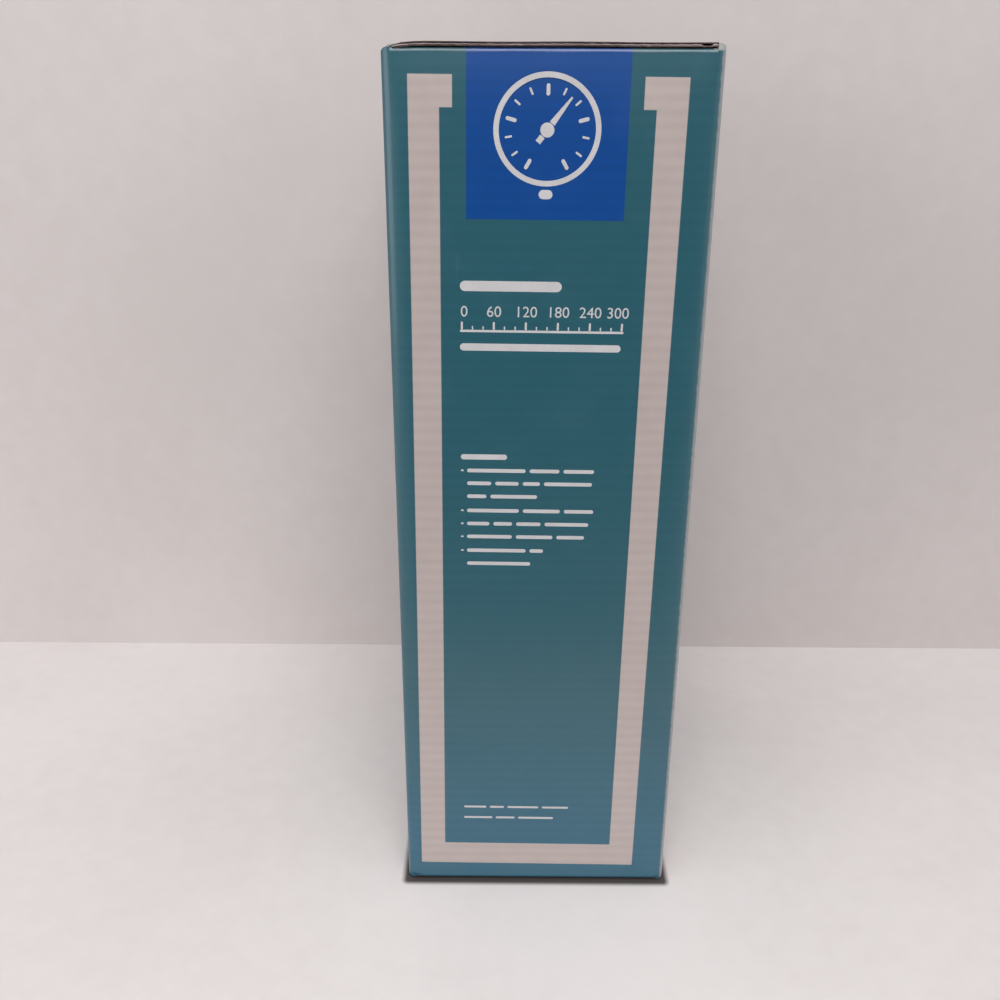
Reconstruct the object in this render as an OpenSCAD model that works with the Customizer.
// Boxed handheld aneroid sphygmomanometer: a printed tuck-top carton with the whole kit packed inside.
// Millimetres, +Z up, origin in the middle of the carton's underside, photographed narrow panel at -Y.

/* [Carton] */
// Outside width of the narrow front panel
carton_w = 81.6; // [80:0.2:96]
// Outside depth of the wide side panels
carton_d = 116; // [114:0.5:150]
// Outside height with the lid shut
carton_h = 246.5; // [243:0.5:300]
// Thickness of the micro-flute board
board = 1.5; // [1.2:0.1:1.8]
// Outside radius of every fold in the board
fold_r = 2.2; // [1.9:0.1:3]
// Gap between boards that lie on each other
ply_rest = 0.1; // [0.05:0.05:0.3]
// Gap along each scored fold line
score_gap = 0.05; // [0.02:0.01:0.1]
// Length of the tuck flap, crease to tip
tuck_len = 18; // [12:1:22]
// Lean of the tuck flap towards the middle of the carton
tuck_lean = 12; // [11:0.5:16]
// Radius of the tuck flap's two corners
tuck_corner = 9; // [4:1:11]
// Length of each top dust flap
dust_len = 42; // [24:1:50]
// Width that each dust flap loses on its hinge side
dust_taper = 26; // [24:1:30]
// Width of the glue flap
glue_w = 22; // [12:1:30]
// Length of each bottom flap under the contents
bottom_len = 48; // [30:1:54]

/* [Packing] */
// Clearance between the packed pieces and whatever they lie against
pack_gap = 0.3; // [0.2:0.05:0.5]

/* [Pouch] */
// Height kept free above the pouch, up to the carton's top
pouch_room = 41.5; // [38:0.5:60]
// Distance from each side of the pouch to the carton's outside
pouch_side = 4; // [3.5:0.5:8]
// Thickness of the folded pouch, tape to tape
pouch_t = 5.4; // [5:0.1:6]
// Thickness of one nylon pouch wall
pouch_wall = 1.2; // [0.8:0.1:1.6]
// Width of the edge binding
pouch_bind = 4; // [3:0.5:6]
// Height of the zip tapes above the pouch walls
tape_h = 6; // [4:0.5:8]
// Distance from each side of the pouch to the first and the last tooth
zip_margin = 8; // [6:0.5:18]
// Number of teeth on each tape
zip_teeth = 40; // [20:1:46]
// Width of the closed chain of teeth
chain_w = 3.4; // [3:0.1:4]
// Height of the chain of teeth
chain_h = 1.6; // [1.4:0.1:2]
// Length of the zip slider
slider_len = 9; // [8:0.5:11]
// Length of the slider's pull tab
pull_len = 16; // [10:0.5:17]
// Travel of the slider
zip_travel = 72; // [40:1:74]

/* [Cuff] */
// Height kept free above the folded cuff for its ports, the tubes' arch and the gauge
cuff_room = 68.5; // [66:0.5:100]
// Distance from each end of the folded cuff's straight runs to the carton's outside
cuff_end = 17; // [16:0.5:28]
// Number of runs in the folded cuff
cuff_runs = 7; // [5:2:7]
// Thickness of the nylon shell and of the lining
nylon_t = 0.8; // [0.5:0.05:0.9]
// Thickness of the empty two-ply bladder
bladder_t = 1.1; // [0.8:0.1:1.2]
// Gap between the layers of the cuff
layer_gap = 0.1; // [0.05:0.05:0.15]
// Width of the binding along both long edges
cuff_bind = 6; // [4:0.5:10]
// Thickness of the hook patch and of the loop patch
patch_t = 0.9; // [0.6:0.1:1.1]
// Width of the hook patch along the cuff
hook_w = 48; // [30:1:60]
// Width of the loop patch along the cuff
loop_w = 66; // [30:1:70]
// Distance from both patches to the cuff's long edges
patch_margin = 14; // [9:0.5:40]

/* [Bladder and tubes] */
// Distance from the bladder to the cuff's long edges
bladder_margin = 14; // [11:0.5:30]
// Outside diameter of a moulded bladder port
port_d = 10; // [9.5:0.1:11]
// Height of a bladder port above the cuff's edge
port_h = 6; // [4:0.5:8]
// Outside diameter of the tubes
tube_d = 7; // [6.5:0.1:7.4]
// Bore of the tubes
tube_bore = 4; // [3.8:0.1:4.4]
// Radius of the tubes' bends
bend_r = 16; // [15:0.5:17]
// Distance between the two bladder ports
port_pitch = 28; // [26:1:32]
// Height of the lowest point of the gauge tube's loop
gauge_loop_z = 118; // [116:1:130]
// Height of the lowest point of the bulb tube's loop
bulb_loop_z = 28; // [12:1:40]

/* [Bulb and release valve] */
// Gap between the rubber bulb and the carton's right wall
bulb_room = 4.8; // [1:0.2:8]
// Length of the rubber bulb
bulb_len = 72; // [64:1:74]
// Wall of the rubber bulb
bulb_wall = 2.6; // [2:0.1:3.5]
// Outside diameter of the bulb's two necks
neck_d = 15; // [13.5:0.5:17]
// Bore of the bulb's two necks
neck_bore = 8; // [7:0.5:9]
// Diameter of the turned valve body
valve_d = 12.5; // [11:0.5:14]
// Length of the valve body above the bulb
valve_len = 26; // [23:1:30]
// Diameter of the knurled release knob
knob_d = 16; // [14:0.5:18]
// Height of the release knob
knob_h = 9; // [7:0.5:11]
// Number of grooves in the knob's knurl
knurls = 24; // [12:2:32]
// Lift of the needle from shut to open
needle_lift = 1.2; // [0.6:0.1:1.6]

/* [Gauge] */
// Diameter of the gauge case
gauge_d = 47; // [45:0.5:48.5]
// Height of the gauge case
gauge_h = 19; // [18:0.5:21]
// Wall of the gauge case
gauge_wall = 1.8; // [1.4:0.1:2.2]
// Height of the bezel above the case
bezel_h = 5; // [4:0.25:6]
// Thickness of the lens
lens_t = 1.6; // [1:0.1:2]
// Diameter of the pointer's arbor
arbor_d = 1.2; // [1:0.1:1.6]
// Running clearance round each shaft, on the radius
run_gap = 0.05; // [0.03:0.01:0.08]
// Diameter of the sealed capsule
capsule_d = 28; // [22:1:30]
// Stroke of the capsule at full scale
capsule_stroke = 0.8; // [0.4:0.1:0.9]
// Diameter of the barbs that carry the tubes
barb_d = 3.6; // [3.2:0.1:3.6]
// Length of a barb outside its fitting
barb_len = 9; // [7:0.5:10]

/* [Screwdriver] */
// Length of the screwdriver's handle
driver_handle = 25; // [18:1:26]
// Diameter of the screwdriver's handle
driver_d = 8; // [6:0.5:10]
// Length of the blade outside the handle
driver_blade = 24; // [20:1:25]
// Diameter of the blade
blade_d = 2.4; // [1.6:0.1:3]

/* [Hidden] */
$fn = 48;

half_w = carton_w / 2;
half_d = carton_d / 2;
inner_w = half_w - board;
inner_d = half_d - board;
lid_under = carton_h - board;
crease_z = lid_under - ply_rest;
flap_floor = board + ply_rest;
floor_z = flap_floor + board + pack_gap;
tuck_x = inner_w - 2 * ply_rest;

pouch_w = carton_d - 2 * pouch_side;
pouch_h = carton_h - pouch_room;
zip_len = pouch_w - 2 * zip_margin;
pouch_x = -inner_w + pack_gap;
pouch_mid = pouch_x + pouch_t / 2;
pouch_top = floor_z + pouch_h;
chain_z = pouch_top + score_gap;

cuff_w = carton_h - cuff_room;
cuff_run = carton_d - 2 * cuff_end;
patch_h = cuff_w - 2 * patch_margin;
bladder_h = cuff_w - 2 * bladder_margin;
strip_t = 2 * nylon_t + bladder_t + 2 * layer_gap;
cuff_pitch = strip_t + pack_gap;
cuff_first = cuff_pitch / 2;
left_runs = (cuff_runs + 1) / 2;
cuff_left = pouch_x + pouch_t + 2 * pack_gap + patch_t;
cuff_x = cuff_left + cuff_first + (left_runs - 1) * cuff_pitch + strip_t / 2;
cuff_right = cuff_x + cuff_first + (left_runs - 2) * cuff_pitch + strip_t / 2;
cuff_top = floor_z + cuff_w;
shell_out = strip_t / 2;
lining_in = -strip_t / 2;
bladder_in = lining_in + nylon_t + layer_gap;

port_x = cuff_x - cuff_first;
port_y = -4;
port_yb = port_y - port_pitch;
port_top = cuff_top + port_h;
tube_seat = 4;
tube_z = port_top - tube_seat;
arch_x = port_x + 2 * bend_r;
arch_top = tube_z + tube_seat + bend_r + tube_d / 2;

bulb_left = cuff_right + patch_t + 2 * pack_gap;
bulb_d = inner_w - bulb_room - bulb_left;
bulb_x = bulb_left + bulb_d / 2;
bulb_y = inner_d - board - bulb_d / 2 - pack_gap;
inlet_flange = 2;
bulb_z = floor_z + inlet_flange;
neck_z = bulb_z + bulb_len;
neck_r = neck_d / 2;
valve_flange = 2;
valve_z = neck_z + valve_flange;
side_z = valve_z + valve_len / 2;
valve_top = valve_z + valve_len;
seat_r = 1.5;
stem_r = 2.4;
spigot_d = neck_bore - 2 * run_gap;

gauge_x = 0;
gauge_y = port_y - port_pitch / 2;
gauge_z = arch_top + pack_gap;
gauge_r = gauge_d / 2;
nipple_z = gauge_z + 5.5;
nipple_d = 5;
boss_out = 1.2;
nipple_y = gauge_r + boss_out + 0.1;
feed_d = 2.4;
zero_turn = 50;
zero_z = gauge_z + 5;
zero_d = 3;
case_floor = 2;
pedestal_z = gauge_z + case_floor + score_gap;
pedestal_h = 6;
capsule_h = 1.2;
plate_z = gauge_z + 13.6;
plate_t = 1;
hair_z = plate_z + plate_t + 0.8;
hair_h = 0.6;
hair_w = 0.22;
hair_r = 5.5;
collet_r = 1.3;
dial_z = gauge_z + 16.6;
dial_t = 0.4;
pointer_z = dial_z + 1.4;
pointer_t = 0.4;
lens_z = gauge_z + gauge_h + 0.6;
pillar_ring = 14.5;
pillar_count = 3;
pillar_d = 3;
pillar_out = 2.2;
screw_d = 1.6;
pillar_turn = 30;
scale_sweep = 310;
sector_r = 9;
pinion_r = 1.25;
sector_swing = scale_sweep * pinion_r / sector_r;
sector_axis_y = -(sector_r + pinion_r + 0.1);

module rounded_slab(w, d, r, h) {
    linear_extrude(h) union() {
        square([w - 2 * r, d], center = true);
        square([w, d - 2 * r], center = true);
        for (sx = [-1, 1], sy = [-1, 1])
            translate([sx * (w / 2 - r), sy * (d / 2 - r)]) circle(r);
    }
}

// Four walls of the sleeve as one closed ring, from one height to another
module sleeve(z0, z1) {
    translate([0, 0, z0]) difference() {
        rounded_slab(carton_w, carton_d, fold_r, z1 - z0);
        translate([-inner_w, -inner_d, -1]) cube([2 * inner_w, 2 * inner_d, z1 - z0 + 2]);
    }
}

// Prism that keeps one wall of the sleeve, mitred at its two upright folds
module narrow_wedge() {
    reach = half_w - score_gap;
    translate([0, 0, -1]) linear_extrude(carton_h + 2)
        polygon([[-reach, -half_d], [reach, -half_d],
                 [reach - 2 * board, -half_d + 2 * board], [-reach + 2 * board, -half_d + 2 * board]]);
}

module wide_wedge(side) {
    reach = half_d - score_gap;
    translate([0, 0, -1]) linear_extrude(carton_h + 2)
        polygon([[side * half_w, -reach], [side * half_w, reach],
                 [side * (half_w - 2 * board), reach - 2 * board],
                 [side * (half_w - 2 * board), -reach + 2 * board]]);
}

// Takes away a square's corner beyond a circle of radius r; the corner is at the origin, the piece in +x +y
module corner_cut(r) {
    difference() {
        translate([-1, -1]) square(r + 1);
        translate([r, r]) circle(r);
    }
}

// Half plane beyond a mitre that runs inwards at 45 degrees from the origin, on the +y side of it
module beyond_mitre() {
    reach = 4 * fold_r;
    translate([0, -score_gap]) polygon([[-reach, -reach], [reach, reach], [-reach, reach]]);
}

// Upright profile of a narrow panel, seen along X: mitred and rounded at its top and bottom folds
module narrow_profile() {
    rotate([90, 0, 90]) translate([0, 0, -half_w]) linear_extrude(carton_w)
        translate([-half_d, 0]) difference() {
            translate([0, flap_floor]) square([board, crease_z - flap_floor]);
            translate([0, flap_floor]) corner_cut(fold_r);
            translate([0, crease_z]) mirror([0, 1]) corner_cut(fold_r);
            translate([0, flap_floor]) mirror([1, -1]) beyond_mitre();
            translate([0, crease_z]) mirror([0, 1]) mirror([1, -1]) beyond_mitre();
        }
}

module narrow_panel() {
    intersection() {
        sleeve(flap_floor, crease_z);
        narrow_wedge();
        narrow_profile();
    }
}

// Rounds the outer corner of a fold that runs along Y; corner is [x, z] and turn its inward signs
module y_fold_cut(corner, turn) {
    rotate([90, 0, 0]) translate([0, 0, -half_d - 1]) linear_extrude(carton_d + 2)
        translate(corner) difference() {
            translate([turn[0] > 0 ? -1 : -fold_r, turn[1] > 0 ? -1 : -fold_r]) square(fold_r + 1);
            translate([turn[0] * fold_r, turn[1] * fold_r]) circle(fold_r);
        }
}

module carton_front_panel() { color("cadetblue") narrow_panel(); }
module carton_back_panel() { color("cadetblue") mirror([0, 1, 0]) narrow_panel(); }

module carton_left_panel() {
    color("cadetblue") difference() {
        intersection() {
            sleeve(0, carton_h);
            wide_wedge(-1);
        }
        translate([-half_w, 0, carton_h - score_gap]) rotate([0, 45, 0])
            translate([-2 * board, -half_d - 1, 0]) cube([8 * board, carton_d + 2, 4 * board]);
        y_fold_cut([-half_w, carton_h], [1, -1]);
    }
}

module carton_right_panel() {
    color("cadetblue") difference() {
        intersection() {
            sleeve(0, carton_h - 2 * ply_rest);
            wide_wedge(1);
        }
        translate([half_w, 0, score_gap]) rotate([0, 45, 0])
            translate([-6 * board, -half_d - 1, -4 * board]) cube([8 * board, carton_d + 2, 4 * board]);
        y_fold_cut([half_w, 0], [-1, 1]);
    }
}

module carton_glue_flap() {
    color("burlywood") translate([-inner_w + score_gap, inner_d - board - score_gap, floor_z])
        cube([glue_w, board, crease_z - floor_z - 2 * board]);
}

lid_depth = carton_d - 4 * ply_rest;
lean_x = sin(tuck_lean);
lean_z = cos(tuck_lean);
fold_s = (board + board * lean_x) / lean_z;
fold_inner = [tuck_x - board * lean_z - fold_s * lean_x, lid_under];

module top_lid() {
    color("cadetblue") difference() {
        rotate([90, 0, 0]) translate([0, 0, -lid_depth / 2]) linear_extrude(lid_depth)
            polygon([[-half_w + score_gap, carton_h], [-half_w + board + score_gap, lid_under],
                     fold_inner - [score_gap, 0], [tuck_x - score_gap, carton_h]]);
        y_fold_cut([-half_w, carton_h], [1, -1]);
        y_fold_cut([tuck_x, carton_h], [-1, -1]);
    }
}

tuck_d = 2 * (inner_d - 2);

module tuck_flap() {
    tip = [tuck_x - tuck_len * lean_x, carton_h - tuck_len * lean_z];
    color("cadetblue") difference() {
        intersection() {
            rotate([90, 0, 0]) translate([0, 0, -tuck_d / 2]) linear_extrude(tuck_d)
                polygon([[tuck_x, carton_h - score_gap], tip, tip + [-board * lean_z, board * lean_x],
                         fold_inner - [0, score_gap]]);
            translate([0, 0, carton_h]) rotate([90, 0, 90]) linear_extrude(half_w) tuck_outline();
        }
        y_fold_cut([tuck_x, carton_h], [-1, -1]);
    }
}

// Outline of the tuck flap with its two rounded corners, in the Y and Z directions
module tuck_outline() {
    drop = tuck_len * lean_z;
    translate([0, -drop - 0.01]) union() {
        translate([-tuck_d / 2, tuck_corner]) square([tuck_d, drop + 1 - tuck_corner]);
        translate([-tuck_d / 2 + tuck_corner, 0]) square([tuck_d - 2 * tuck_corner, drop]);
        for (sy = [-1, 1]) translate([sy * (tuck_d / 2 - tuck_corner), tuck_corner]) circle(tuck_corner);
    }
}

// Plan of a top dust flap at the front: full width at its crease, clear of the tuck flap, tapered to the hinge
module dust_outline() {
    side = inner_w - 2 * ply_rest;
    tuck_side = fold_inner[0] - 1.2;
    shoulder = half_d - tuck_d / 2 - 0.6;
    translate([0, -half_d]) difference() {
        polygon([[-side, 0], [side, 0], [side, shoulder], [tuck_side, shoulder + 0.4],
                 [tuck_side, dust_len], [-side + dust_taper, dust_len], [-side, 2]]);
        translate([tuck_side, dust_len]) rotate(180) corner_cut(6);
        translate([-side + dust_taper, dust_len]) rotate(-90) corner_cut(6);
    }
}

module dust_flap() {
    color("cadetblue") intersection() {
        rotate([90, 0, 90]) translate([0, 0, -half_w]) linear_extrude(carton_w)
            translate([-half_d, crease_z]) mirror([0, 1]) difference() {
                square([dust_len + 1, board]);
                corner_cut(fold_r);
                beyond_mitre();
            }
        translate([0, 0, crease_z - board - 1]) linear_extrude(board + 2) dust_outline();
    }
}

module dust_flap_front() { dust_flap(); }
module dust_flap_back() { mirror([0, 1, 0]) dust_flap(); }

module bottom_cover() {
    color("burlywood") difference() {
        rotate([90, 0, 0]) translate([0, 0, -lid_depth / 2]) linear_extrude(lid_depth)
            polygon([[half_w - score_gap, 0], [half_w - board - score_gap, board],
                     [-inner_w + ply_rest, board], [-inner_w + ply_rest, 0]]);
        y_fold_cut([half_w, 0], [-1, 1]);
    }
}

module bottom_flap(side) {
    inset = half_d - fold_r;
    y0 = side > 0 ? inset - bottom_len + fold_r : -inset;
    color("burlywood") translate([-inner_w + ply_rest, y0, flap_floor])
        cube([2 * (inner_w - ply_rest), bottom_len - fold_r, board]);
}

module bottom_flap_front() { bottom_flap(-1); }
module bottom_flap_back() { bottom_flap(1); }

// Pouch, flat against the left wall with its zip along the top edge
module pouch_sheet(x) {
    translate([x, -pouch_w / 2 + pouch_bind, floor_z + pouch_bind])
        cube([pouch_wall, pouch_w - 2 * pouch_bind, pouch_h - pouch_bind - tape_h]);
}

module pouch_inner_wall() { color("midnightblue") pouch_sheet(pouch_x + pouch_t - pouch_wall); }
module pouch_outer_wall() { color("midnightblue") pouch_sheet(pouch_x); }

module pouch_binding() {
    color("black") translate([pouch_x, 0, floor_z]) difference() {
        translate([0, -pouch_w / 2, 0]) cube([pouch_t, pouch_w, pouch_h - tape_h]);
        translate([-1, -pouch_w / 2 + pouch_bind - score_gap, pouch_bind - score_gap])
            cube([pouch_t + 2, pouch_w - 2 * pouch_bind + 2 * score_gap, pouch_h]);
    }
}

module zip_tapes() {
    z0 = pouch_top - tape_h + score_gap;
    color("black") for (sx = [-1, 1])
        translate([pouch_mid + sx * (pouch_t / 2 - pouch_wall / 2) - pouch_wall / 2, -pouch_w / 2, z0])
            cube([pouch_wall, pouch_w, tape_h - score_gap]);
}

module zip_teeth_chain() {
    step = zip_len / zip_teeth;
    tooth_w = chain_w * 0.62;
    tooth_l = step * 0.42;
    color("black") for (i = [0 : zip_teeth - 1], sx = [0, 1])
        translate([pouch_mid - chain_w / 2 + sx * (chain_w - tooth_w),
                   (i + sx / 2) * step - zip_len / 2, chain_z])
            cube([tooth_w, tooth_l, chain_h]);
}

slider_z = chain_z + chain_h + pack_gap;
slider_y = zip_travel / 2;
slider_w = 4.8;
slider_t = 1;
lug_x = 1.9;
lug_t = 1;
lug_len = 3.2;
pull_z = slider_z + 2.2;
pull_pin = 0.6;
pull_w = 2.4;
pull_t = 1;

module zip_slider() {
    color("dimgray") difference() {
        union() {
            translate([pouch_mid - slider_w / 2, slider_y - slider_len / 2, slider_z])
                cube([slider_w, slider_len, slider_t]);
            for (sx = [-1, 1])
                translate([pouch_mid + sx * lug_x - lug_t / 2, slider_y - lug_len / 2, slider_z])
                    cube([lug_t, lug_len, pull_z - slider_z + lug_t]);
        }
        translate([pouch_mid - slider_w, slider_y, pull_z]) rotate([0, 90, 0])
            cylinder(r = pull_pin + run_gap, h = 2 * slider_w);
    }
}

module zip_pull() {
    pin_len = 2 * lug_x + 2 * lug_t;
    color("dimgray") difference() {
        union() {
            translate([pouch_mid - pin_len / 2, slider_y, pull_z]) rotate([0, 90, 0])
                cylinder(r = pull_pin, h = pin_len);
            translate([pouch_mid - pull_w / 2, slider_y, pull_z]) rotate([0, 90, 0])
                cylinder(r = pull_pin + pull_t / 2, h = pull_w);
            translate([pouch_mid - pull_w / 2, slider_y - pull_len, pull_z - pull_t / 2])
                cube([pull_w, pull_len, pull_t]);
        }
        translate([pouch_mid, slider_y - pull_len + 3, pull_z - 2 * pull_t]) cylinder(d = 1.3, h = 4 * pull_t);
    }
}

// Flat spiral of the folded cuff, seen from above: centreline moved outwards by off, over a number of runs
function half_turn(c, r, a0, n) = [for (i = [0 : n]) c + r * [cos(a0 - 180 * i / n), sin(a0 - 180 * i / n)]];
function fold_line(off, runs, n = 12) = concat(
    [[-cuff_first - off, -cuff_run / 2]],
    [for (k = [0 : runs - 2]) each k % 2 == 0
        ? half_turn([0, cuff_run / 2], cuff_first + cuff_pitch * k / 2 + off, 180, n)
        : half_turn([-cuff_pitch / 2, -cuff_run / 2], cuff_first + cuff_pitch * k / 2 + off, 0, n)],
    [runs % 2 == 1 ? [-cuff_first - (runs - 1) / 2 * cuff_pitch - off, cuff_run / 2]
                   : [cuff_first + (runs - 2) / 2 * cuff_pitch + off, -cuff_run / 2]]);
function backwards(list) = [for (i = [len(list) - 1 : -1 : 0]) list[i]];

module fold_strip(off0, off1, runs, z0, z1) {
    translate([cuff_x, 0, z0]) linear_extrude(z1 - z0)
        polygon(concat(fold_line(off1, runs), backwards(fold_line(off0, runs))));
}

shell_z0 = floor_z + cuff_bind + layer_gap;
shell_z1 = cuff_top - cuff_bind - layer_gap;

module nylon_layer(off) {
    color("navy") fold_strip(off, off + nylon_t, cuff_runs, shell_z0, shell_z1);
}

module cuff_shell() { nylon_layer(shell_out - nylon_t); }
module cuff_lining() { nylon_layer(lining_in); }

tab_w = 12;

module cuff_binding() {
    color("black") difference() {
        union() {
            fold_strip(lining_in, shell_out, cuff_runs, floor_z, floor_z + cuff_bind);
            fold_strip(lining_in, shell_out, cuff_runs, cuff_top - cuff_bind, cuff_top);
        }
        for (y = [port_y, port_yb])
            translate([port_x - bladder_t / 2 - layer_gap, y - tab_w / 2 - layer_gap, shell_z1 - 1])
                cube([bladder_t + 2 * layer_gap, tab_w + 2 * layer_gap, cuff_bind + 3]);
    }
}

patch_z = floor_z + patch_margin;

module hook_patch() {
    color("black") translate([cuff_left - layer_gap - patch_t, cuff_run / 2 - hook_w, patch_z])
        cube([patch_t, hook_w, patch_h]);
}

module loop_patch() {
    color("black") translate([cuff_right + layer_gap, -loop_w / 2, patch_z])
        cube([patch_t, loop_w, patch_h]);
}

module bladder() {
    z0 = floor_z + bladder_margin;
    color("dimgray") difference() {
        union() {
            fold_strip(bladder_in, bladder_in + bladder_t, 4, z0, z0 + bladder_h);
            for (y = [port_y, port_yb]) {
                translate([port_x - bladder_t / 2, y - tab_w / 2, z0 + bladder_h - 1])
                    cube([bladder_t, tab_w, cuff_top + 0.5 - z0 - bladder_h + 1]);
                translate([port_x, y, cuff_top + 0.2]) cylinder(d = port_d, h = port_h - 0.2);
            }
        }
        for (y = [port_y, port_yb])
            translate([port_x, y, port_top - tube_seat - 0.1]) cylinder(d = tube_d + 0.3, h = tube_seat + 1);
    }
}

// Routes of the tubes: straight lengths and round bends, each named size from above
function straight(p, dir, length) = [p, p + dir * length];
function bend(p, dir, side, r, angle, n, first = 0) = [for (i = [first : n])
    p + r * sin(angle * i / n) * dir + r * (1 - cos(angle * i / n)) * side];
up = [0, 0, 1];
down = [0, 0, -1];

loop_y = gauge_y + gauge_r + barb_len + bend_r + 1;
gauge_turn = [gauge_x - arch_x, loop_y - port_y, 0];
gauge_turn_r = norm(gauge_turn) / 2;
gauge_side = gauge_turn / norm(gauge_turn);
gauge_low = gauge_loop_z + gauge_turn_r;
gauge_route = concat(
    straight([port_x, port_y, tube_z], up, tube_seat),
    bend([port_x, port_y, port_top], up, [1, 0, 0], bend_r, 180, 12, 1),
    bend([arch_x, port_y, gauge_low], down, gauge_side, gauge_turn_r, 180, 12),
    bend([gauge_x, loop_y, nipple_z - bend_r], up, [0, -1, 0], bend_r, 90, 6),
    [[gauge_x, gauge_y + gauge_r + 2.4, nipple_z]]);

bulb_end_y = bulb_y - valve_d / 2 - barb_len - 6;
bulb_turn = [bulb_x - arch_x, bulb_end_y - bend_r - port_yb, 0];
bulb_turn_r = norm(bulb_turn) / 2;
bulb_side = bulb_turn / norm(bulb_turn);
bulb_route = concat(
    straight([port_x, port_yb, tube_z], up, tube_seat),
    bend([port_x, port_yb, port_top], up, [1, 0, 0], bend_r, 180, 12, 1),
    bend([arch_x, port_yb, bulb_loop_z + bulb_turn_r], down, bulb_side, bulb_turn_r, 180, 12),
    bend([bulb_x, bulb_end_y - bend_r, side_z - bend_r], up, [0, 1, 0], bend_r, 90, 6),
    [[bulb_x, bulb_y - valve_d / 2 - 2.4, side_z]]);

// Tube swept along a route as one closed skin, outside and bore, with the section carried round each bend
function unit(v) = v / norm(v);
function heading(r, i) = unit(i == 0 ? r[1] - r[0] : i == len(r) - 1 ? r[i] - r[i - 1]
    : unit(r[i] - r[i - 1]) + unit(r[i + 1] - r[i]));
function across(t, u) = unit(u - (u * t) * t);
function sections(r, i = 0, u = [0, 1, 0.001]) = i == len(r) ? []
    : let (t = heading(r, i), a = across(t, u)) concat([[r[i], a, cross(t, a)]], sections(r, i + 1, a));
function ring_points(s, radius, n) = [for (k = [0 : n - 1])
    s[0] + radius * (cos(360 * k / n) * s[1] + sin(360 * k / n) * s[2])];

module swept_tube(route, d, bore, n = 10) {
    s = sections(route);
    m = len(s);
    pts = concat([for (x = s) each ring_points(x, d / 2, n)], [for (x = s) each ring_points(x, bore / 2, n)]);
    faces = concat(
        [for (i = [0 : m - 2], k = [0 : n - 1]) each let (a = i * n + k, b = i * n + (k + 1) % n)
            [[a, b, b + n], [a, b + n, a + n]]],
        [for (i = [0 : m - 2], k = [0 : n - 1]) each let (a = (m + i) * n + k, b = (m + i) * n + (k + 1) % n)
            [[b, a, a + n], [b, a + n, b + n]]],
        [for (k = [0 : n - 1]) each let (a = k, b = (k + 1) % n, c = m * n + k, e = m * n + (k + 1) % n)
            [[b, a, c], [b, c, e]]],
        [for (k = [0 : n - 1]) each let (o = (m - 1) * n, a = o + k, b = o + (k + 1) % n,
                                         c = m * n + o + k, e = m * n + o + (k + 1) % n)
            [[a, b, c], [b, e, c]]]);
    polyhedron(pts, [for (f = faces) [f[0], f[2], f[1]]]);
}

module gauge_tube() { color("dimgray") swept_tube(gauge_route, tube_d, tube_bore); }
module bulb_tube() { color("dimgray") swept_tube(bulb_route, tube_d, tube_bore); }

// Rubber bulb: a swelling between two plain necks
neck_len = 7;
function bulb_radius(t) = neck_r + (bulb_d / 2 - neck_r) * pow(sin(180 * t), 0.62);
bulb_steps = 22;
function bulb_height(t) = neck_len / 2 + (bulb_len - neck_len) * t;
bulb_outer = concat([[neck_r, 0]],
    [for (i = [0 : bulb_steps]) [bulb_radius(i / bulb_steps), bulb_height(i / bulb_steps)]],
    [[neck_r, bulb_len]]);
bulb_inner = [for (i = [1 : bulb_steps - 1])
    [max(bulb_radius(i / bulb_steps) - bulb_wall, neck_bore / 2), bulb_height(i / bulb_steps)]];

module inflation_bulb() {
    color("dimgray") translate([bulb_x, bulb_y, bulb_z]) rotate_extrude() polygon(concat(
        [[neck_bore / 2, 0]], bulb_outer, [[neck_bore / 2, bulb_len]], backwards(bulb_inner)));
}

ball_r = 1.5;
inlet_bore_r = 1;

module inlet_valve() {
    color("silver") translate([bulb_x, bulb_y, floor_z]) difference() {
        union() {
            cylinder(d = neck_d, h = inlet_flange - score_gap);
            cylinder(d = spigot_d, h = inlet_flange + 8);
        }
        translate([0, 0, -1]) cylinder(r = inlet_bore_r, h = 20);
        translate([0, 0, inlet_flange + 2]) cylinder(r = ball_r + 0.2, h = 10);
    }
}

module inlet_check_ball() {
    rest_z = sqrt(ball_r * ball_r - inlet_bore_r * inlet_bore_r) + score_gap;
    color("black") translate([bulb_x, bulb_y, floor_z + inlet_flange + 2 + rest_z]) sphere(ball_r);
}

module valve_body() {
    color("silver") translate([bulb_x, bulb_y, 0]) difference() {
        union() {
            translate([0, 0, neck_z - 7]) cylinder(d = spigot_d, h = 8 + valve_flange);
            translate([0, 0, neck_z + score_gap]) cylinder(d = neck_d + 1, h = valve_flange);
            translate([0, 0, valve_z]) cylinder(d = valve_d, h = valve_len - 4);
            translate([0, 0, valve_top - 4]) cylinder(d = valve_d - 3, h = 4);
            translate([0, 0, side_z]) rotate([90, 0, 0]) cylinder(d = 7, h = valve_d / 2 + 2);
            translate([0, 0, side_z]) rotate([90, 0, 0]) cylinder(d = barb_d, h = valve_d / 2 + barb_len);
        }
        translate([0, 0, neck_z - 8]) cylinder(r = seat_r, h = side_z - neck_z + 10);
        translate([0, 0, side_z + 1]) cylinder(r = stem_r + run_gap, h = valve_len);
        translate([0, 0, side_z]) rotate([90, 0, 0]) cylinder(d = barb_d - 1.6, h = valve_d + barb_len);
    }
}

needle_z = side_z + 1.2;
needle_h = 2;
needle_slack = 0.2;
stem_z = needle_z + needle_h + needle_lift + needle_slack;

module valve_needle() {
    color("goldenrod") translate([bulb_x, bulb_y, needle_z]) difference() {
        cylinder(r = stem_r - run_gap, h = needle_h);
        translate([0, 0, -1]) cylinder(d = 0.8, h = 1.6);
    }
}

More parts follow.
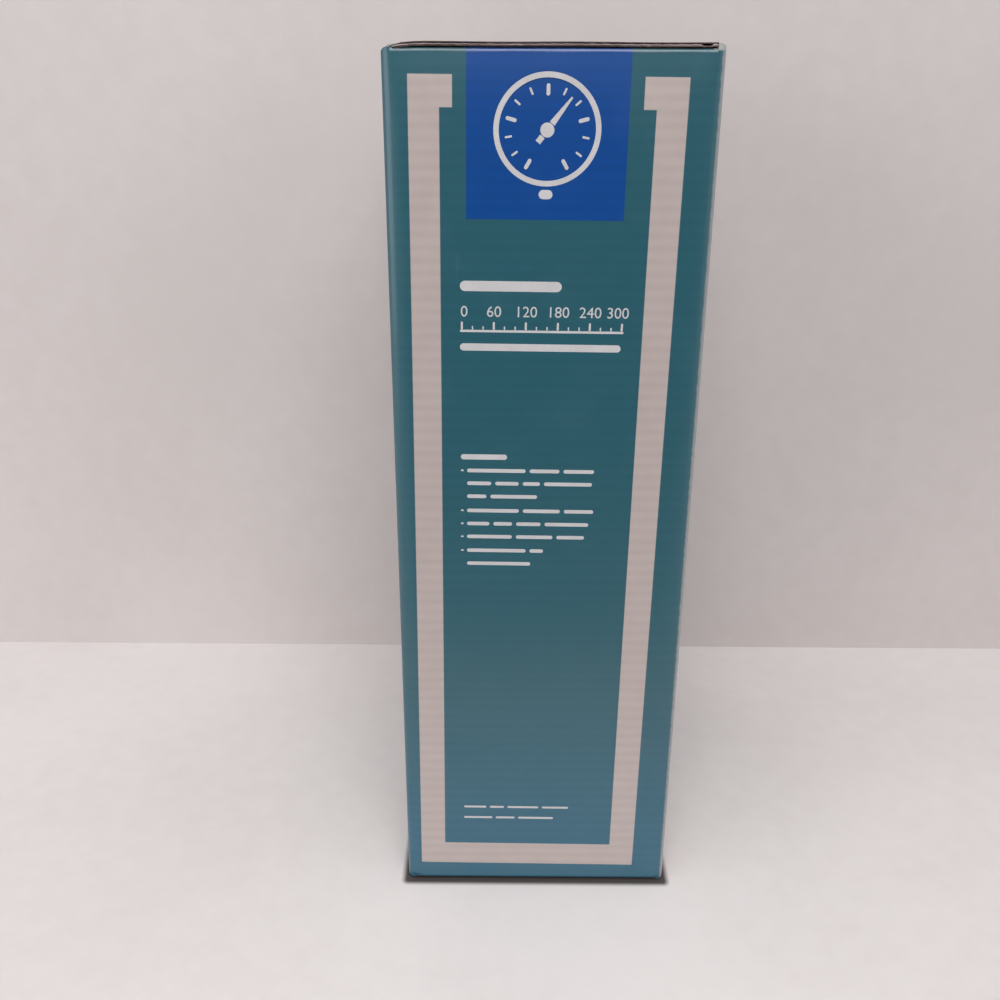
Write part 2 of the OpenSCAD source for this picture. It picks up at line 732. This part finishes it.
knob_z = valve_top + 1.6;

module release_knob() {
    color("silver") translate([bulb_x, bulb_y, 0]) difference() {
        union() {
            translate([0, 0, stem_z]) cylinder(r = stem_r - run_gap, h = knob_z - stem_z + 0.2);
            translate([0, 0, knob_z]) cylinder(d = knob_d, h = knob_h - 1);
            translate([0, 0, knob_z + knob_h - 1]) cylinder(d1 = knob_d, d2 = knob_d - 2, h = 1);
        }
        for (i = [0 : knurls - 1]) rotate(360 * i / knurls)
            translate([knob_d / 2 + 0.25, 0, knob_z - 1]) cylinder(r = 0.7, h = knob_h + 2, $fn = 16);
    }
}

// Aneroid gauge, face up, everything about its own upright axis
module at_gauge() { translate([gauge_x, gauge_y, 0]) children(); }

module gauge_case() {
    color("dimgray") at_gauge() difference() {
        union() {
            translate([0, 0, gauge_z]) cylinder(r = gauge_r, h = gauge_h);
            translate([0, 0, nipple_z]) rotate([-90, 0, 0]) cylinder(d = 9, h = gauge_r + boss_out);
        }
        translate([0, 0, gauge_z + case_floor]) cylinder(r = gauge_r - gauge_wall, h = gauge_h);
        translate([0, 0, nipple_z]) rotate([-90, 0, 0]) cylinder(d = nipple_d, h = gauge_d);
        translate([0, 0, zero_z]) rotate([-90, 0, -zero_turn]) cylinder(d = zero_d + 2 * run_gap, h = gauge_d);
    }
}

module gauge_nipple() {
    color("silver") at_gauge() difference() {
        union() {
            translate([0, gauge_r - gauge_wall - 2, nipple_z]) rotate([-90, 0, 0])
                cylinder(d = nipple_d - 2 * run_gap, h = gauge_wall + 3.4);
            translate([0, nipple_y, nipple_z]) rotate([-90, 0, 0]) cylinder(d = 7, h = 1);
            translate([0, nipple_y, nipple_z]) rotate([-90, 0, 0]) cylinder(d = barb_d, h = barb_len);
            translate([0, 3, nipple_z]) rotate([-90, 0, 0]) cylinder(d = feed_d, h = gauge_r - 3);
        }
        translate([0, 2, nipple_z]) rotate([-90, 0, 0]) cylinder(d = feed_d / 2, h = gauge_d);
    }
}

// Sealed capsule: a corrugated lower shell on its pedestal, and the top diaphragm that rises
module capsule() {
    r = capsule_d / 2;
    color("goldenrod") at_gauge() translate([0, 0, pedestal_z]) difference() {
        union() {
            cylinder(r = 4, h = pedestal_h + 0.5);
            translate([0, 0, pedestal_h]) rotate_extrude()
                polygon([[0, 0], [r * 0.5, 0], [r * 0.6, 0.5], [r * 0.75, 0],
                         [r * 0.86, 0.5], [r, 0.5], [r, capsule_h], [0, capsule_h]]);
        }
        translate([0, 0, nipple_z - pedestal_z]) cylinder(d = feed_d / 2, h = pedestal_h);
        translate([0, 0, nipple_z - pedestal_z]) rotate([-90, 0, 0]) cylinder(d = feed_d + 2 * run_gap, h = 6);
    }
}

capsule_lid_z = pedestal_z + pedestal_h + capsule_h + score_gap;
lid_rib_h = 0.9;
shaft_z = capsule_lid_z + lid_rib_h + capsule_stroke + 0.1;

module capsule_top() {
    r = capsule_d / 2;
    color("goldenrod") at_gauge() translate([0, 0, capsule_lid_z]) rotate_extrude()
        polygon([[0, 0], [r - 0.4, 0], [r - 0.4, 0.5], [r * 0.8, 0.5],
                 [r * 0.66, lid_rib_h], [r * 0.5, 0.5], [0, 0.5]]);
}

module movement_plate() {
    stud_d = 1;
    color("goldenrod") at_gauge() difference() {
        union() {
            translate([0, 0, plate_z]) cylinder(r = pillar_ring + 3.5, h = plate_t);
            translate([hair_r + hair_w + 0.1 + stud_d / 2, 0, plate_z])
                cylinder(d = stud_d, h = hair_z + hair_h - plate_z);
        }
        translate([0, 0, plate_z - 1]) cylinder(r = arbor_d / 2 + run_gap, h = plate_t + 2);
        translate([0, sector_axis_y, plate_z - 1]) cylinder(r = arbor_d / 2 + run_gap, h = plate_t + 2);
        for (i = [0 : pillar_count - 1]) rotate(pillar_turn + 120 * i)
            translate([pillar_ring, 0, plate_z - 1]) cylinder(d = screw_d + 2 * run_gap, h = plate_t + 2);
    }
}

module movement_pillars() {
    color("goldenrod") at_gauge() for (i = [0 : pillar_count - 1]) rotate(pillar_turn + 120 * i)
        translate([pillar_ring, 0, pedestal_z]) difference() {
            translate([pillar_out, 0, 0]) cylinder(d = pillar_d, h = plate_z - pedestal_z - score_gap);
            translate([0, 0, plate_z - pedestal_z - 4]) cylinder(d = screw_d + 2 * run_gap, h = 6);
        }
}

module plate_screws() {
    color("silver") at_gauge() for (i = [0 : pillar_count - 1]) rotate(pillar_turn + 120 * i)
        translate([pillar_ring, 0, 0]) difference() {
            union() {
                translate([0, 0, plate_z - 3]) cylinder(d = screw_d, h = plate_t + 3.1);
                translate([0, 0, plate_z + plate_t + score_gap]) cylinder(d = 3, h = 0.9);
            }
            translate([-2, -0.2, plate_z + plate_t + 0.6]) cube([4, 0.4, 1]);
        }
}

module pointer_arbor() {
    teeth = 12;
    color("silver") at_gauge() difference() {
        union() {
            translate([0, 0, shaft_z]) cylinder(d = arbor_d, h = pointer_z - shaft_z - 0.1);
            translate([0, 0, plate_z - 2.4]) cylinder(r = pinion_r, h = 1.6);
            translate([0, 0, hair_z]) cylinder(r = collet_r, h = hair_h);
        }
        for (i = [0 : teeth - 1]) rotate(360 * i / teeth)
            translate([pinion_r + 0.1, 0, plate_z - 3]) cylinder(r = 0.24, h = 3, $fn = 16);
    }
}

function coil_line(r0, r1, turns, w, n) = [for (i = [0 : n])
    let (a = 360 * turns * i / n, r = r0 + (r1 - r0) * i / n + w) [r * cos(a), r * sin(a)]];

module hairspring() {
    n = 72;
    r0 = collet_r + 0.1;
    color("goldenrod") at_gauge() translate([0, 0, hair_z]) linear_extrude(hair_h)
        polygon(concat(coil_line(r0, hair_r, 4, hair_w, n), backwards(coil_line(r0, hair_r, 4, 0, n))));
}

module sector_gear() {
    half_angle = sector_swing / 2 + 4;
    sector_t = 1.2;
    reach = 2 * sector_r;
    teeth = 24;
    color("goldenrod") at_gauge() translate([0, sector_axis_y, 0]) rotate(-sector_swing / 2) difference() {
        union() {
            translate([0, 0, shaft_z]) cylinder(d = arbor_d, h = plate_z + plate_t - shaft_z);
            translate([0, 0, plate_z - 2.2]) intersection() {
                cylinder(r = sector_r, h = sector_t);
                linear_extrude(sector_t) polygon([[0, -2], [reach * sin(half_angle), reach * cos(half_angle)],
                    [-reach * sin(half_angle), reach * cos(half_angle)]]);
            }
            translate([0, 0, plate_z - 2.2]) cylinder(r = 1.8, h = sector_t);
        }
        for (i = [0 : teeth]) rotate(half_angle - 2 * half_angle * i / teeth)
            translate([0, sector_r + 0.05, plate_z - 3]) cylinder(r = 0.2, h = 3, $fn = 16);
    }
}

module gauge_dial() {
    color("white") at_gauge() difference() {
        translate([0, 0, dial_z]) cylinder(r = gauge_r - gauge_wall - 0.1, h = dial_t);
        translate([0, 0, dial_z - 1]) cylinder(r = arbor_d / 2 + 0.4, h = 3);
    }
}

// Needle of the pointer lies at 7 o'clock, where the scale begins, with 6 o'clock at the nipple
rest_turn = -25;

module gauge_pointer() {
    reach = gauge_r - gauge_wall - 4.5;
    color("black") at_gauge() translate([0, 0, pointer_z]) difference() {
        union() {
            cylinder(r = 2.2, h = pointer_t + 0.5);
            rotate(rest_turn) linear_extrude(pointer_t)
                polygon([[-1.1, -6], [1.1, -6], [0.7, 0], [0.2, reach], [-0.2, reach], [-0.7, 0]]);
        }
        translate([0, 0, -1]) cylinder(d = arbor_d - 0.4, h = 1.2);
    }
}

module gauge_lens() {
    color([0.8, 0.9, 1, 0.4]) at_gauge() translate([0, 0, lens_z])
        cylinder(r = gauge_r - gauge_wall - 0.4, h = lens_t);
}

module gauge_bezel() {
    seat_h = lens_z + lens_t + score_gap - gauge_z - gauge_h;
    color("silver") at_gauge() translate([0, 0, gauge_z + gauge_h + score_gap]) difference() {
        union() {
            cylinder(r = gauge_r, h = bezel_h - 1.2);
            translate([0, 0, bezel_h - 1.2]) cylinder(r1 = gauge_r, r2 = gauge_r - 1.2, h = 1.2);
        }
        translate([0, 0, -1]) cylinder(r = gauge_r - gauge_wall, h = 1 + seat_h);
        cylinder(r = gauge_r - gauge_wall - 1.6, h = bezel_h + 1);
    }
}

module zero_screw() {
    color("silver") at_gauge() translate([0, 0, zero_z]) rotate([-90, 0, -zero_turn]) difference() {
        translate([0, 0, gauge_r - gauge_wall - 3]) cylinder(d = zero_d, h = gauge_wall + 3.4);
        translate([-2, -0.35, gauge_r - 0.4]) cube([4, 0.7, 2]);
    }
}

// Small recalibration screwdriver, lying on the cuff's edge
driver_x = port_x;
driver_y = port_y + port_d / 2 + 3;
driver_z = cuff_top + driver_d / 2 + pack_gap;
grip_hold = 11;

module driver_grip() {
    grip_y = driver_y + driver_blade;
    color("firebrick") translate([driver_x, grip_y, driver_z]) rotate([-90, 0, 0]) difference() {
        union() {
            cylinder(d = driver_d, h = driver_handle);
            translate([0, 0, -3]) cylinder(d = driver_d - 3, h = 4);
        }
        for (i = [0 : 5]) rotate(30 + 60 * i) translate([driver_d / 2 + 1, 0, 3])
            cylinder(r = 1.6, h = driver_handle - 6);
        translate([0, 0, -4]) cylinder(d = blade_d + 2 * run_gap, h = grip_hold + 4.5);
    }
}

module driver_shank() {
    color("silver") translate([driver_x, driver_y, driver_z]) rotate([-90, 0, 0]) union() {
        translate([0, 0, 5]) cylinder(d = blade_d, h = driver_blade + grip_hold - 5);
        translate([-blade_d / 2, -0.3, 0]) cube([blade_d, 0.6, 6]);
    }
}

carton_front_panel();
carton_back_panel();
carton_left_panel();
carton_right_panel();
carton_glue_flap();
top_lid();
tuck_flap();
dust_flap_front();
dust_flap_back();
bottom_cover();
bottom_flap_front();
bottom_flap_back();
pouch_inner_wall();
pouch_outer_wall();
pouch_binding();
zip_tapes();
zip_teeth_chain();
zip_slider();
zip_pull();
cuff_shell();
cuff_lining();
cuff_binding();
hook_patch();
loop_patch();
bladder();
gauge_tube();
bulb_tube();
inflation_bulb();
inlet_valve();
inlet_check_ball();
valve_body();
valve_needle();
release_knob();
gauge_case();
gauge_nipple();
capsule();
capsule_top();
movement_plate();
movement_pillars();
plate_screws();
pointer_arbor();
hairspring();
sector_gear();
gauge_dial();
gauge_pointer();
gauge_lens();
gauge_bezel();
zero_screw();
driver_grip();
driver_shank();
